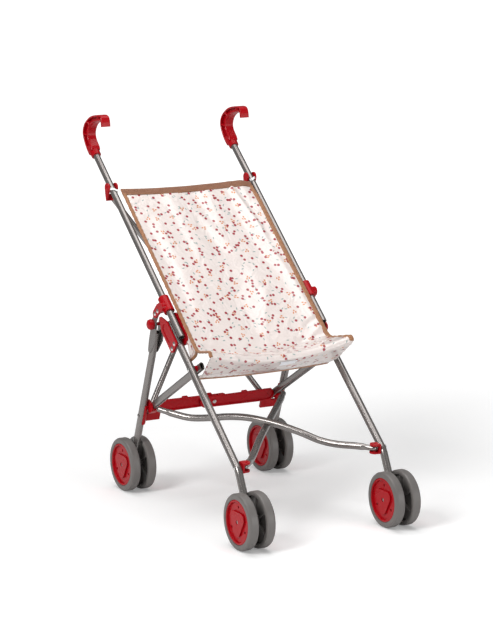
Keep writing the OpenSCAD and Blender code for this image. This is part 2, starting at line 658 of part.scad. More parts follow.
handle_tube(-1);  // left_handle_tube
handle_tube(1);  // right_handle_tube
grip(-1);  // left_grip
grip(1);  // right_grip
front_leg(-1);  // left_front_leg
front_leg(1);  // right_front_leg
front_foot(-1);  // left_front_foot
front_foot(1);  // right_front_foot
upper_clamp(-1);  // left_upper_clamp
upper_clamp(1);  // right_upper_clamp
hinge_outer_plate(-1);  // left_hinge_outer_plate
hinge_outer_plate(1);  // right_hinge_outer_plate
hinge_inner_plate(-1);  // left_hinge_inner_plate
hinge_inner_plate(1);  // right_hinge_inner_plate
link_plate(-1);  // left_link_plate
link_plate(1);  // right_link_plate
knob(-1);  // left_knob
knob(1);  // right_knob
frame_screws(-1);  // left_frame_screws
frame_screws(1);  // right_frame_screws
rear_leg(-1);  // left_rear_leg
rear_leg(1);  // right_rear_leg
rear_foot(-1);  // left_rear_foot
rear_foot(1);  // right_rear_foot
rear_bracket(-1);  // left_rear_bracket
rear_bracket(1);  // right_rear_bracket
lock_bar(-1);  // left_lock_bar
lock_bar(1);  // right_lock_bar
top_cap(-1);  // left_top_cap
top_cap(1);  // right_top_cap
rear_brace(-1);  // left_rear_brace
rear_brace(1);  // right_rear_brace
seat_rail(-1);  // left_seat_rail
seat_rail(1);  // right_seat_rail
rail_bush(-1);  // left_rail_bush
rail_bush(1);  // right_rail_bush
lower_brace(-1);  // left_lower_brace
lower_brace(1);  // right_lower_brace
elbow(-1);  // left_elbow
elbow(1);  // right_elbow
strap_loop(-1);  // left_strap_loop
strap_loop(1);  // right_strap_loop
seat_sling();
wheel_at(-1, front_hub, 1);  // front_left_outer_wheel
wheel_at(-1, front_hub, -1);  // front_left_inner_wheel
wheel_at(1, front_hub, 1);  // front_right_outer_wheel
wheel_at(1, front_hub, -1);  // front_right_inner_wheel
wheel_at(-1, rear_hub, 1);  // rear_left_outer_wheel
wheel_at(-1, rear_hub, -1);  // rear_left_inner_wheel
wheel_at(1, rear_hub, 1);  // rear_right_outer_wheel
wheel_at(1, rear_hub, -1);  // rear_right_inner_wheel
caps_at(-1, front_hub);  // front_left_hub_caps
caps_at(1, front_hub);  // front_right_hub_caps
caps_at(-1, rear_hub);  // rear_left_hub_caps
caps_at(1, rear_hub);  // rear_right_hub_caps
axle_at(-1, front_hub);  // front_left_axle
axle_at(1, front_hub);  // front_right_axle
axle_at(-1, rear_hub);  // rear_left_axle
axle_at(1, rear_hub);  // rear_right_axle
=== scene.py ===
import json
import math

import bpy
import numpy as np
from mathutils import Matrix


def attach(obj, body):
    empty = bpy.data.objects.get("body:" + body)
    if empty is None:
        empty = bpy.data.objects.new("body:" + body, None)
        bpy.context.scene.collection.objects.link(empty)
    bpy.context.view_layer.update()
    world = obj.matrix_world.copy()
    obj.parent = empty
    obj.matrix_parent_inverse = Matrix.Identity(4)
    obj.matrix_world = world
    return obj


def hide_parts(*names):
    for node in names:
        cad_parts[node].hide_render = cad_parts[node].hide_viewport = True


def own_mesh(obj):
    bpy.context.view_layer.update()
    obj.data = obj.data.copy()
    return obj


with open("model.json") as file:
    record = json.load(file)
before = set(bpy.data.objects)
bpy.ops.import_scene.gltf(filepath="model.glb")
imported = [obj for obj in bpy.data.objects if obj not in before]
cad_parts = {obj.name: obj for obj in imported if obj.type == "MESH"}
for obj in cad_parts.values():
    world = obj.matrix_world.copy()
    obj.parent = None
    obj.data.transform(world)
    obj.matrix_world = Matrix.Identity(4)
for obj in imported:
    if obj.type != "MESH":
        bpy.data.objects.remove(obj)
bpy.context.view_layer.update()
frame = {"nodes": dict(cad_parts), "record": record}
scene = bpy.context.scene


# node helpers: add() makes one shader node and fills its sockets by name or number
def nodeAdder(tree):
    def add(kind, values=None, **settings):
        node = tree.nodes.new(kind)
        for key, value in settings.items():
            setattr(node, key, value)
        for key, value in (values or {}).items():
            socket = node.inputs[key]
            if isinstance(value, bpy.types.NodeSocket):
                tree.links.new(value, socket)
            else:
                socket.default_value = value
        return node
    return add


# a shared effect: inputs are (name, socket type, default), outputs (name, socket type)
def effectGroup(name, inputs, outputs):
    group = bpy.data.node_groups.new(name, "ShaderNodeTree")
    for label, kind, default in inputs:
        group.interface.new_socket(name=label, in_out="INPUT", socket_type=kind).default_value = default
    for label, kind in outputs:
        group.interface.new_socket(name=label, in_out="OUTPUT", socket_type=kind)
    add = nodeAdder(group)
    return group, add, add("NodeGroupInput").outputs, add("NodeGroupOutput").inputs


# one step of arithmetic on numbers, and below it on vectors
def maths(add, operation, a, b=None, c=None):
    values = {k: v for k, v in enumerate((a, b, c)) if v is not None}
    return add("ShaderNodeMath", values, operation=operation).outputs[0]


def vectorMaths(add, operation, a, b=None, scale=None):
    values = {0: a}
    if b is not None:
        values[1] = b
    if scale is not None:
        values["Scale"] = scale
    return add("ShaderNodeVectorMath", values, operation=operation).outputs


# vectors scaled to length 1
def unit(v):
    return v / np.maximum(np.linalg.norm(v, axis=-1, keepdims=True), 1e-12)


# 0 below 0, 1 above 1, and 3 x^2 - 2 x^3 between
def smoothStep(x):
    x = np.clip(x, 0, 1)
    return x * x * (3 - 2 * x)


# quads of a grid whose point (i, j) has the number i * cols + j; closeCols joins the last column to the first
def gridFaces(rows, cols, closeCols=False):
    lastCol = cols if closeCols else cols - 1
    i, j = np.meshgrid(np.arange(rows - 1), np.arange(lastCol), indexing="ij")
    nextJ = (j + 1) % cols
    here, below = i * cols, (i + 1) * cols
    return np.stack([here + j, below + j, below + nextJ, here + nextJ], -1).reshape(-1, 4)


# the unit normal at each point of a grid, from its neighbours down and across
def gridNormal(points):
    return unit(np.cross(np.gradient(points, axis=0), np.gradient(points, axis=1)))


# a smooth-shaded object in the scene; a face that names a point twice becomes a triangle
def smoothObject(name, points, faces, material, slotName):
    mesh = bpy.data.meshes.new(name)
    mesh.from_pydata(points.tolist(), [], [list(dict.fromkeys(face)) for face in faces.tolist()])
    mesh.update()
    mesh.materials.append(material)
    mesh.polygons.foreach_set("use_smooth", np.ones(len(mesh.polygons), bool))
    obj = bpy.data.objects.new(name, mesh)
    scene.collection.objects.link(obj)
    return obj


# cloth carries a map in metres, so that print, weave and stitches keep their size
def clothObject(name, points, faces, material, uv):
    obj = smoothObject(name, points, faces, material, "cloth")
    mesh = obj.data
    loops = np.zeros(len(mesh.loops), np.int32)
    mesh.loops.foreach_get("vertex_index", loops)
    mesh.uv_layers.new(name="clothUv").data.foreach_set("uv", uv[loops].ravel())
    return obj


# hard pieces stay sharp where faces meet at more than the angle
def rigidObject(name, solid, slotName, angle=35):
    obj = smoothObject(name, *solid, materials[slotName], slotName)
    obj.data.set_sharp_from_angle(angle=math.radians(angle))
    return obj


# smooth line through points, evenly spaced by number: Catmull-Rom pieces
def smoothLine(points, count):
    padded = np.vstack([2 * points[0] - points[1], points, 2 * points[-1] - points[-2]])
    place = np.linspace(0, len(points) - 1 - 1e-9, count)
    k = place.astype(int)
    t = (place - k)[:, None]
    a, b, c, d = (padded[k + n] for n in range(4))
    curved = (2 * a - 5 * b + 4 * c - d) * t ** 2 + (3 * b - a - 3 * c + d) * t ** 3
    return 0.5 * (2 * b + (c - a) * t + curved)


# length run along a line up to each of its points
def runAlong(points):
    return np.concatenate([[0], np.cumsum(np.linalg.norm(np.diff(points, axis=0), axis=1))])


# rings of points joined in order, with a middle point closing each end; turned outward by its volume
def ringSolid(rings):
    rows, cols = rings.shape[:2]
    points = np.vstack([rings.reshape(-1, 3), rings[0].mean(0), rings[-1].mean(0)])
    j = np.arange(cols)
    nextJ, tail, last = (j + 1) % cols, (rows - 1) * cols, rows * cols
    ends = [np.stack([nextJ, j, j * 0 + last, j * 0 + last], -1),
            np.stack([tail + j, tail + nextJ, j * 0 + last + 1, j * 0 + last + 1], -1)]
    faces = np.vstack([gridFaces(rows, cols, closeCols=True)[:, ::-1], ends[0], ends[1]])
    corner = [points[faces[:, k]] for k in range(4)]
    volume = sum(np.einsum("ij,ij->i", corner[0], np.cross(corner[k], corner[k + 1])).sum() for k in (1, 2))
    return points, faces if volume > 0 else faces[:, ::-1]


# rings round an axis from stations of distance along it and radius
def turnedRings(base, axis, stations, count=40):
    axis = unit(np.array(axis, float))
    first = unit(np.cross(axis, (1, 0, 0) if abs(axis[0]) < 0.9 else (0, 1, 0)))
    angle = np.linspace(0, 2 * np.pi, count, endpoint=False)[:, None]
    circle = np.cos(angle) * first + np.sin(angle) * np.cross(axis, first)
    return np.array([np.array(base) + axis * along + circle * r for along, r in stations])


# several closed shells as one piece
def mergeSolids(parts):
    points, faces, count = [], [], 0
    for shell, quads in parts:
        points.append(shell)
        faces.append(quads + count)
        count += len(shell)
    return np.vstack(points), np.vstack(faces)


print("helpers ready")


# grain: detail of the fine and slow noise, where most of the slow noise lies, height of the grain in metres
grainShape = {"fineDetail": 3.0, "slowScale": 22.0, "slowDetail": 2.0, "slowRange": (0.3, 0.7),
              "depth": 0.0004}


# fine grain and a slow drift of shade in object space
def grainGroup():
    group, add, given, out = effectGroup(
        "grain",
        [("Colour", "NodeSocketColor", (0.5, 0.5, 0.5, 1)), ("Scale", "NodeSocketFloat", 900.0),
         ("Drift", "NodeSocketFloat", 0.06), ("Bump", "NodeSocketFloat", 0.1)],
        [("Colour", "NodeSocketColor"), ("Roughness", "NodeSocketFloat"), ("Normal", "NodeSocketVector")])
    place = add("ShaderNodeTexCoord").outputs["Object"]
    fine = add("ShaderNodeTexNoise", {"Vector": place, "Scale": given["Scale"],
                                      "Detail": grainShape["fineDetail"]}).outputs["Fac"]
    slow = add("ShaderNodeTexNoise", {"Vector": place, "Scale": grainShape["slowScale"],
                                      "Detail": grainShape["slowDetail"]}).outputs["Fac"]
    drift = maths(add, "MULTIPLY", given["Drift"], 2.0)  # the noise only swings half as far as its range
    shade = maths(add, "MULTIPLY_ADD", maths(add, "SUBTRACT", slow, 0.5), drift, 1.0)
    tint = vectorMaths(add, "SCALE", given["Colour"], scale=shade)
    bump = add("ShaderNodeBump", {"Height": fine, "Strength": given["Bump"], "Distance": grainShape["depth"]})
    group.links.new(tint[0], out["Colour"])
    group.links.new(slow, out["Roughness"])
    group.links.new(bump.outputs[0], out["Normal"])
    return group


# the scattered print, in metres of cloth: cells as (size, shift, share left empty), shapes as half sizes
motif = {
    "dashes": [(0.0127, 0.129, 0.55), (0.0189, 0.171, 0.5)], "dash": (0.0022, 0.0009), "dashSpread": 0.9,
    "lozenges": [(0.0245, 0.083, 0.25)], "lozenge": (0.0017, 0.0012), "lozengeSpread": 0.8,
    "trio": [(-0.0021, -0.0008), (0.0021, -0.0002), (0.0002, 0.0027)],
    "dots": [(0.0168, 0.003, 0.12), (0.031, 0.041, 0.45)], "dot": (0.0022, 0.0022), "dotSpread": 0.62,
    "pair": (0.0050, 0.0008), "pairDot": (0.0020, 0.0020), "single": 0.55, "soft": 0.00025,
}


# red dots alone or in twos, orange lozenges in threes and grey-green dashes, each turned at random
def printGroup():
    group, add, given, out = effectGroup(
        "scatterPrint",
        [("Cloth", "NodeSocketColor", (0.9, 0.86, 0.86, 1)), ("Red", "NodeSocketColor", (0.5, 0.01, 0.03, 1)),
         ("Orange", "NodeSocketColor", (0.75, 0.3, 0.08, 1)),
         ("Green", "NodeSocketColor", (0.33, 0.42, 0.38, 1))],
        [("Colour", "NodeSocketColor")])
    place = add("ShaderNodeUVMap", uv_map="clothUv").outputs[0]

    # scattered cells: the place from the cell's middle, turned, and three random values of the cell
    def cells(pitch, shift, spread):
        moved = vectorMaths(add, "ADD", place, (shift, shift * 1.7, 0))[0]
        scaled = vectorMaths(add, "SCALE", moved, scale=1 / pitch)[0]
        found = add("ShaderNodeTexVoronoi", {"Vector": scaled, "Scale": 1.0, "Randomness": spread},
                    voronoi_dimensions="2D")
        local = vectorMaths(add, "SUBTRACT", scaled, found.outputs["Position"])[0]
        part = add("ShaderNodeSeparateColor", {0: found.outputs["Color"]}).outputs
        turn = maths(add, "MULTIPLY", part[1], 2 * math.pi)
        local = vectorMaths(add, "SCALE", local, scale=pitch)[0]
        turned = add("ShaderNodeVectorRotate", {"Vector": local, "Angle": turn}, rotation_type="Z_AXIS")
        return turned.outputs[0], part

    # soft-edged ellipse: 1 inside, 0 outside
    def blob(local, centre, half):
        soft = motif["soft"]
        offset = vectorMaths(add, "SUBTRACT", local, (centre[0], centre[1], 0))[0]
        scaled = vectorMaths(add, "MULTIPLY", offset, (1 / half[0], 1 / half[1], 0))[0]
        far = vectorMaths(add, "LENGTH", scaled)
        return add("ShaderNodeMapRange", {"Value": far["Value"], "From Min": 1 + soft / half[1],
                                          "From Max": 1 - soft / half[1]}).outputs[0]

    # shapes laid in one colour over what is there
    def laid(tint, keep, shapes, colour):
        mask = shapes[0]
        for shape in shapes[1:]:
            mask = maths(add, "MAXIMUM", mask, shape)
        mask = maths(add, "MULTIPLY", keep, mask)
        return add("ShaderNodeMix", {0: mask, 6: tint, 7: colour}, data_type="RGBA").outputs[2]

    tint = given["Cloth"]
    for pitch, shift, empty in motif["dashes"]:
        local, part = cells(pitch, shift, motif["dashSpread"])
        keep = maths(add, "GREATER_THAN", part[0], empty)
        tint = laid(tint, keep, [blob(local, (0, 0), motif["dash"])], given["Green"])
    for pitch, shift, empty in motif["lozenges"]:
        local, part = cells(pitch, shift, motif["lozengeSpread"])
        keep = maths(add, "GREATER_THAN", part[0], empty)
        trio = [blob(local, spot, motif["lozenge"]) for spot in motif["trio"]]
        tint = laid(tint, keep, trio, given["Orange"])
    for pitch, shift, empty in motif["dots"]:
        local, part = cells(pitch, shift, motif["dotSpread"])
        keep = maths(add, "GREATER_THAN", part[0], empty)
        second = maths(add, "MULTIPLY", maths(add, "GREATER_THAN", part[2], motif["single"]),
                       blob(local, motif["pair"], motif["pairDot"]))
        tint = laid(tint, keep, [blob(local, (0, 0), motif["dot"]), second], given["Red"])
    group.links.new(tint, out["Colour"])
    return group


# cloth surface: heights of yarn and crinkles in metres, size and twist of the crinkles
weaveShape = {"yarn": 0.0002, "crinkle": 0.004, "scale": 48.0, "detail": 3.2, "twist": 1.2}


# plain weave along both directions of the cloth's map, over the small crinkles of a coated cloth
def weaveGroup():
    group, add, given, out = effectGroup(
        "weave", [("Pitch", "NodeSocketFloat", 0.0006), ("Bump", "NodeSocketFloat", 0.2),
                  ("Crinkle", "NodeSocketFloat", 0.0)], [("Normal", "NodeSocketVector")])
    place = add("ShaderNodeUVMap", uv_map="clothUv").outputs[0]
    part = add("ShaderNodeSeparateXYZ", {0: place}).outputs
    turns = maths(add, "DIVIDE", 2 * math.pi, given["Pitch"])
    waves = [maths(add, "SINE", maths(add, "MULTIPLY", part[k], turns)) for k in (0, 1)]
    height = maths(add, "MULTIPLY", waves[0], waves[1])
    yarn = add("ShaderNodeBump", {"Height": height, "Strength": given["Bump"],
                                  "Distance": weaveShape["yarn"]})
    soft = add("ShaderNodeTexNoise", {"Vector": place, "Scale": weaveShape["scale"],
                                      "Detail": weaveShape["detail"], "Distortion": weaveShape["twist"]})
    crinkle = add("ShaderNodeBump", {"Height": soft.outputs["Fac"], "Strength": given["Crinkle"],
                                     "Distance": weaveShape["crinkle"], "Normal": yarn.outputs[0]})
    group.links.new(crinkle.outputs[0], out["Normal"])
    return group


stitch = {"half": 0.00022, "share": 0.74}  # half width of the thread, share of the pitch that it covers


# a row of stitches: 1 on the thread, at one place across the tape, with gaps along it
def stitchGroup():
    group, add, given, out = effectGroup(
        "stitches", [("Across", "NodeSocketFloat", 0.0012), ("Pitch", "NodeSocketFloat", 0.0028)],
        [("Mask", "NodeSocketFloat")])
    part = add("ShaderNodeSeparateXYZ", {0: add("ShaderNodeUVMap", uv_map="clothUv").outputs[0]}).outputs
    away = maths(add, "ABSOLUTE", maths(add, "SUBTRACT", part[0], given["Across"]))
    near = maths(add, "LESS_THAN", away, stitch["half"])
    step = maths(add, "FRACT", maths(add, "DIVIDE", part[1], given["Pitch"]))
    group.links.new(maths(add, "MULTIPLY", near, maths(add, "LESS_THAN", step, stitch["share"])), out["Mask"])
    return group


grain, scatterPrint, weave, stitches = grainGroup(), printGroup(), weaveGroup(), stitchGroup()
print("effects ready")


# a new material, its tree, its add() and its Principled shader
def newMaterial(name):
    material = bpy.data.materials.new(name)
    material.use_nodes = True
    tree = material.node_tree
    return material, tree, nodeAdder(tree), next(n for n in tree.nodes if n.type == "BSDF_PRINCIPLED")


# hard finishes: grain over one colour, with a roughness that drifts between two values
def grainMaterial(name, look):
    material, tree, add, shader = newMaterial(name)
    effect = add("ShaderNodeGroup", node_tree=grain)
    effect.inputs["Colour"].default_value = (*look["colour"], 1)
    effect.inputs["Scale"].default_value = look.get("scale", 900.0)
    effect.inputs["Drift"].default_value = look.get("drift", 0.05)
    effect.inputs["Bump"].default_value = look.get("bump", 0.05)
    tree.links.new(effect.outputs["Colour"], shader.inputs["Base Color"])
    tree.links.new(effect.outputs["Normal"], shader.inputs["Normal"])
    (least, most), (low, high) = grainShape["slowRange"], look["roughness"]
    rough = add("ShaderNodeMapRange", {"Value": effect.outputs["Roughness"], "From Min": least,
                                       "From Max": most, "To Min": low, "To Max": high})
    tree.links.new(rough.outputs[0], shader.inputs["Roughness"])
    shader.inputs["Metallic"].default_value = look.get("metallic", 0.0)
    shader.inputs["Specular IOR Level"].default_value = look.get("specular", 0.5)
    return material


finishes = {
    "tube": {"colour": (0.27, 0.25, 0.24), "metallic": 0.75, "roughness": (0.2, 0.28), "scale": 1500.0,
             "drift": 0.03, "bump": 0.03, "specular": 0.6},
    "plate": {"colour": (0.24, 0.23, 0.22), "metallic": 0.6, "roughness": (0.35, 0.45), "drift": 0.05},
    "red_plastic": {"colour": (0.40, 0.002, 0.007), "roughness": (0.24, 0.32), "drift": 0.04, "bump": 0.04,
                    "specular": 0.22},
    "foot": {"colour": (0.2, 0.188, 0.182), "roughness": (0.42, 0.52), "drift": 0.05},
    "wheel": {"colour": (0.155, 0.143, 0.136), "roughness": (0.40, 0.5), "scale": 700.0, "drift": 0.06,
              "bump": 0.08},
    "screw": {"colour": (0.72, 0.71, 0.69), "metallic": 1.0, "roughness": (0.2, 0.3)},
    "axle": {"colour": (0.5, 0.49, 0.48), "metallic": 1.0, "roughness": (0.3, 0.4)},
    "webbing": {"colour": (0.86, 0.86, 0.86), "roughness": (0.6, 0.8), "scale": 1800.0, "bump": 0.3},
}
materials = {name: grainMaterial(name, look) for name, look in finishes.items()}


# cloths: weave and crinkles, with the print or a row of thread where the look names one
def clothMaterial(name, look):
    material, tree, add, shader = newMaterial(name)
    shader.inputs["Base Color"].default_value = (*look["colour"], 1)
    if "Red" in look:
        effect = add("ShaderNodeGroup", node_tree=scatterPrint)
        effect.inputs["Cloth"].default_value = (*look["colour"], 1)
        for key in ("Red", "Orange", "Green"):
            effect.inputs[key].default_value = (*look[key], 1)
        tree.links.new(effect.outputs["Colour"], shader.inputs["Base Color"])
    if "thread" in look:
        row = add("ShaderNodeGroup", node_tree=stitches)
        row.inputs["Across"].default_value = look["seam"]
        mixed = add("ShaderNodeMix", {0: row.outputs[0], 6: (*look["colour"], 1), 7: (*look["thread"], 1)},
                    data_type="RGBA")
        tree.links.new(mixed.outputs[2], shader.inputs["Base Color"])
    yarn = add("ShaderNodeGroup", node_tree=weave)
    yarn.inputs["Pitch"].default_value = look["pitch"]
    yarn.inputs["Bump"].default_value = look["bump"]
    yarn.inputs["Crinkle"].default_value = look.get("crinkle", 0.0)
    tree.links.new(yarn.outputs["Normal"], shader.inputs["Normal"])
    shader.inputs["Roughness"].default_value = look["roughness"]
    shader.inputs["Sheen Weight"].default_value = look.get("sheen", 0.0)
    shader.inputs["Coat Weight"].default_value = look.get("coat", 0.0)
    shader.inputs["Coat Roughness"].default_value = look.get("coatRoughness", 0.15)
    return material


clothLooks = {
    "print": {"colour": (0.80, 0.715, 0.68), "Red": (0.33, 0.004, 0.02), "Orange": (0.62, 0.21, 0.06),
              "Green": (0.28, 0.37, 0.35), "pitch": 0.00055, "bump": 0.05, "crinkle": 0.5, "roughness": 0.4,
              "coat": 0.8, "coatRoughness": 0.09},
    "lining": {"colour": (0.82, 0.77, 0.75), "pitch": 0.0007, "bump": 0.3, "crinkle": 0.1, "roughness": 0.75,
               "sheen": 0.1},
    "binding": {"colour": (0.34, 0.15, 0.066), "thread": (0.5, 0.27, 0.14), "seam": 0.0013, "pitch": 0.0009,
                "bump": 0.35, "crinkle": 0.1, "roughness": 0.6, "sheen": 0.15},
    "topBinding": {"colour": (0.24, 0.096, 0.044), "thread": (0.42, 0.21, 0.11), "seam": 0.0013,
                   "pitch": 0.0009, "bump": 0.35, "crinkle": 0.25, "roughness": 0.5, "sheen": 0.15},
    "label": {"colour": (0.84, 0.85, 0.88), "pitch": 0.0005, "bump": 0.1, "crinkle": 0.2, "roughness": 0.3},
}
cloth = {name: clothMaterial(name, look) for name, look in clothLooks.items()}
for entry in frame["record"]["subparts"]:
    obj = frame["nodes"][entry["node"]]
    obj.data.materials.clear()
    obj.data.materials.append(materials.get(entry["material_slot"], cloth["print"]))
print("materials ready")

# hooked grips: pairs of outer and inner side-view points, in mm forward and up from the collar's foot
grip = {
    "pairs": [
        (-10.3, 0.1, -1.6, 10.4), (-18.3, 6.9, -4.8, 15.4), (-26.2, 16.4, -9.0, 19.2),
        (-31.8, 26.0, -14.0, 25.0), (-33.2, 34.5, -16.0, 31.8), (-30.2, 42.4, -14.4, 37.8),
        (-23.9, 49.4, -10.6, 43.4), (-10.2, 57.9, -3.2, 49.2), (6.0, 62.4, 8.6, 53.5),
        (22.0, 64.2, 22.4, 56.0), (29.6, 62.0, 27.6, 56.6), (32.6, 55.6, 29.9, 53.4),
        (33.8, 47.6, 31.0, 47.6),
    ],
    "foot": (0.118, 0.2330, 0.4899), "lean": math.radians(40), "width": 0.0145, "web": 0.0048,
    "flange": 0.0026, "flangeMost": 0.6, "corner": 0.0007, "rows": 150,
    # recess between the flanges and ribs across it, as shares of the way, with the lengths of their slopes
    # and the share of the depth on a slope
    "recess": (0.11, 0.86), "recessEnd": 0.02, "ribs": (0.3, 0.52, 0.72), "rib": 0.006, "slope": 0.35,
    # turned collar: distance along the tube, radius; screw in mm as above; its dome: height, share of radius
    "collar": [(0, 0.0066), (0.0007, 0.0074), (0.0145, 0.0078), (0.0155, 0.0070)],
    "screw": (-14.5, 13.2), "screwRadius": 0.0024, "screwSink": 0.0002, "screwSides": 24,
    "dome": [(0, 1), (0.0005, 1), (0.0011, 0.75), (0.0014, 0.3)],
}
gripAxis = np.array([0, math.cos(grip["lean"]), math.sin(grip["lean"])])  # up along the handle tube


# I section with cut corners: half sizes a across and b along, web half width w; mirrored in both directions
def gripSection(a, b, w):
    flange, cut = min(grip["flange"], b * grip["flangeMost"]), grip["corner"]
    upper = [(w, b - flange), (a - cut, b - flange), (a, b - flange + cut), (a, b - cut), (a - cut, b)]
    top = upper + [(-x, y) for x, y in upper[::-1]]
    return np.array(top + [(-x, -y) for x, y in top])


# place beside the foot of the collar: x across, forward and up
def gripPlace(side, x, forward, up):
    foot = grip["foot"]
    return np.stack(np.broadcast_arrays(side * foot[0] + x, foot[1] - forward, foot[2] + up), -1)


# the section carried along the hook: at each pair its depth is the distance between the two points
def buildGrip(side, node, name):
    both = smoothLine(np.array(grip["pairs"]) / 1000, grip["rows"])
    t = np.linspace(0, 1, grip["rows"])
    low, high = grip["recess"]
    depth = smoothStep((t - low) / grip["recessEnd"]) * smoothStep((high - t) / grip["recessEnd"])
    for rib in grip["ribs"]:
        depth = np.minimum(depth, smoothStep((np.abs(t - rib) - grip["rib"]) / grip["rib"]))
    half, web, rings = grip["width"] / 2, grip["web"] / 2, []
    for pair, sunk in zip(both, depth):
        middle, across = (pair[:2] + pair[2:]) / 2, pair[:2] - pair[2:]
        b = np.linalg.norm(across) / 2
        section = gripSection(half, b, half - sunk * (half - web) * (grip["slope"] if 0 < sunk < 1 else 1))
        flat = middle + section[:, 1:] * across / (2 * b)
        rings.append(gripPlace(side, section[:, 0], flat[:, 0], flat[:, 1]))
    collar = turnedRings(gripPlace(side, 0, 0, 0), gripAxis, grip["collar"])
    solid = mergeSolids([ringSolid(np.array(rings)), ringSolid(collar)])
    piece = rigidObject(name, solid, "red_plastic")
    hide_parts(node)
    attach(piece, node.replace("grip", "side"))
    forward, up = np.array(grip["screw"]) / 1000
    start = gripPlace(side, side * (web - grip["screwSink"]), forward, up)
    dome = [(rise, share * grip["screwRadius"]) for rise, share in grip["dome"]]
    rings = turnedRings(start, (side, 0, 0), dome, grip["screwSides"])
    screw = rigidObject(name + "Screw", ringSolid(rings), "screw")
    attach(screw, node.replace("grip", "side"))


buildGrip(-1, "left_grip", "leftGrip")
buildGrip(1, "right_grip", "rightGrip")
print("grips built")

# lock bar: two flat halves with a sunk face, tilted as the rear legs are; front is the y of each half's face
lockBar = {
    "hinge": (0.03456, 0.26788), "tilt": math.asin(0.34836), "down": 0.146, "pivot": 0.092, "overlap": 0.014,
    "ends": (0.0102, 0.0092), "thick": 0.004, "front": {-1: -0.002, 1: -0.0063}, "edge": 0.0006,
    "rim": 0.0026, "sink": 0.0016, "draft": 0.0004,
    # tabs on the upper edge: places as shares of the length, half width and height; foot: how deep they start
    # and how far below the edge they are measured from; step: how far they stand back from the faces
    "tabs": (0.40, 0.78), "tab": (0.0046, 0.0034), "tabFoot": (0.0018, 0.0008), "tabStep": 0.0003,
    # pin through the bracket and rivet of the middle: distance out and radius
    "pin": [(0.001, 0.002), (0.0086, 0.002), (0.0086, 0.0034), (0.0094, 0.0032), (0.0102, 0.0016)],
    "rivet": [(-0.0004, 0.003), (0.0012, 0.003), (0.0019, 0.0024), (0.0022, 0.0009)],
    "pinSides": 24, "rivetSides": 28, "endRows": 40,
}


# place at x across, y behind and z above the rear legs' line through the hinge
def legPlace(x, y, z):
    tilt, hinge = lockBar["tilt"], lockBar["hinge"]
    return np.stack(np.broadcast_arrays(x, hinge[0] - z * math.sin(tilt) + y * math.cos(tilt),
                                        hinge[1] + z * math.cos(tilt) + y * math.sin(tilt)), -1)


# outline of a bar with round ends of radius r0 at x0 and r1 at x1, moved in by inset
def barOutline(x0, r0, x1, r1, inset):
    angle = np.linspace(-np.pi / 2, np.pi / 2, lockBar["endRows"])
    right = np.stack([x1 + (r1 - inset) * np.cos(angle), (r1 - inset) * np.sin(angle)], -1)
    left = np.stack([x0 - (r0 - inset) * np.cos(angle), -(r0 - inset) * np.sin(angle)], -1)
    return np.vstack([right, left])


# the outline stacked in layers of (inset, y) from the back edge round to the sunk face, with tabs and a pin
def buildLockBar(side, node, name):
    bar = lockBar
    front, back = bar["front"][side], bar["front"][side] + bar["thick"]
    rim, edge, down = bar["rim"], bar["edge"], -bar["down"]
    layers = [(edge, back), (0, back - edge), (0, front + edge), (edge, front), (rim, front),
              (rim + bar["draft"], front + bar["sink"])]
    x0, x1 = -bar["pivot"], bar["overlap"]

    def ring(inset, y):
        flat = barOutline(x0, bar["ends"][0], x1, bar["ends"][1], inset)
        return legPlace(-side * flat[:, 0], y, down + flat[:, 1])

    parts = [ringSolid(np.array([ring(*layer) for layer in layers]))]
    w, h = bar["tab"]
    foot, lap = bar["tabFoot"]
    right = np.array([(w, lap - foot), (w, h - edge), (w - edge, h)])
    square = np.vstack([[(-w, lap - foot)], right, [(edge - w, h), (-w, h - edge)]])
    for share in bar["tabs"]:
        x = x0 + share * (x1 - x0)
        parts.append(ringSolid(np.array([
            legPlace(-side * (x + square[:, 0]), y, down + np.mean(bar["ends"]) - lap + square[:, 1])
            for y in (front + bar["tabStep"], back - bar["tabStep"])])))
    axis = legPlace(0.0, 1.0, 0.0) - legPlace(0.0, 0.0, 0.0)
    parts.append(ringSolid(turnedRings(legPlace(-side * x0, front, down), axis, bar["pin"], bar["pinSides"])))
    piece = rigidObject(name, mergeSolids(parts), "red_plastic")
    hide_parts(node)
    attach(piece, node)
    if side > 0:
        rivet = turnedRings(legPlace(0.0, front + bar["sink"], down), -axis, bar["rivet"], bar["rivetSides"])
        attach(rigidObject("lockBarRivet", ringSolid(rivet), "screw"), node)


buildLockBar(-1, "left_lock_bar", "leftLockBar")
buildLockBar(1, "right_lock_bar", "rightLockBar")
print("lock bars built")

# lower braces: round tubes from the elbow to the far seat rail, narrower at the tips; bends as (share of the
# way, mm up); taper is where the narrow part ends and the full one starts
lowerBrace = {
    "front": (0.105, -0.20381, 0.10703), "rear": (0.1055, 0.05677, 0.13410), "radius": 0.0051, "tip": 0.00415,
    "taper": (0.03, 0.06), "rows": 160, "sides": 28, "dome": 0.9, "domeRows": 6,
    "rightBends": [
        (0, 0), (0.07, -1), (0.17, -4), (0.25, -2.6), (0.33, 3.4), (0.43, 9.2), (0.52, 11.7),
        (0.6, 11.4), (0.68, 7.4), (0.76, 1), (0.85, -4.2), (0.93, -2.8), (1, 0),
    ],
    "leftBends": [
        (0, 0), (0.06, -2), (0.12, -5.4), (0.19, -6), (0.28, -2.6), (0.37, 0), (0.5, 0.2), (0.65, 0),
        (0.8, -1), (0.92, -1), (1, 0),
    ],
}


# end of a tube: the ring shrinks by cos a and moves out by radius * sin a
def domeRings(ring, out, radius):
    turns = np.linspace(0, np.pi / 2 * lowerBrace["dome"], lowerBrace["domeRows"] + 1)[1:]
    middle = ring.mean(0)
    return [middle + (ring - middle) * math.cos(a) + out * radius * math.sin(a) for a in turns]


